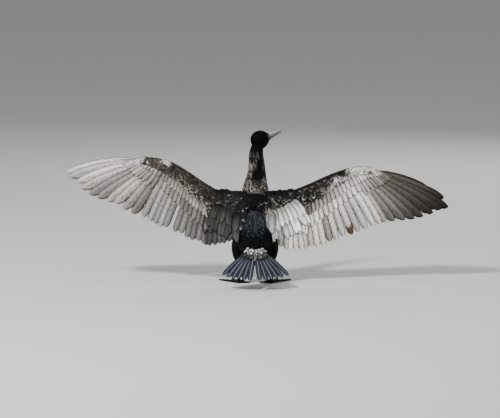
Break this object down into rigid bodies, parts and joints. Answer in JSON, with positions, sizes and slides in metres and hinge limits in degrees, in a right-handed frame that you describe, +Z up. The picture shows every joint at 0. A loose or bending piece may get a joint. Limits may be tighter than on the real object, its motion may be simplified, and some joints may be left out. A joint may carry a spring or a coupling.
{
  "type": "cormorant figure",
  "caption": "Life-size figure of a large dark waterbird standing upright with both wings held out to dry, its head turned to one side.",
  "frame": {"origin": "on the ground, at the middle of the bounding box seen from above", "axes": "+Z up, +Y the way the bird faces, +X towards the tip of its right wing"},
  "size_m": [1.2258, 0.4557, 0.476],
  "materials": {
    "plumage": "soft, faintly glossy",
    "neck_plumage": "soft, matt",
    "wing_feathers": "silky",
    "tail_feathers": "silky",
    "bill": "horn, satin",
    "pouch": "bare skin",
    "eye": "wet",
    "legs": "scaly skin, satin"
  },
  "bodies": {
    "root": {"torso": "plumage", "neck_lower": "neck_plumage", "neck_upper": "neck_plumage", "head": "plumage", "bill_upper": "bill", "bill_lower": "bill", "gular_pouch": "pouch", "eye_right": "eye", "eye_left": "eye", "tail": "tail_feathers", "wing_right_inner": "wing_feathers", "wing_right_forearm": "wing_feathers", "wing_right_hand": "wing_feathers", "thigh_right": "plumage", "shank_right": "legs", "foot_right": "legs", "wing_left_inner": "wing_feathers", "wing_left_forearm": "wing_feathers", "wing_left_hand": "wing_feathers", "thigh_left": "plumage", "shank_left": "legs", "foot_left": "legs"}
  },
  "joints": []
}
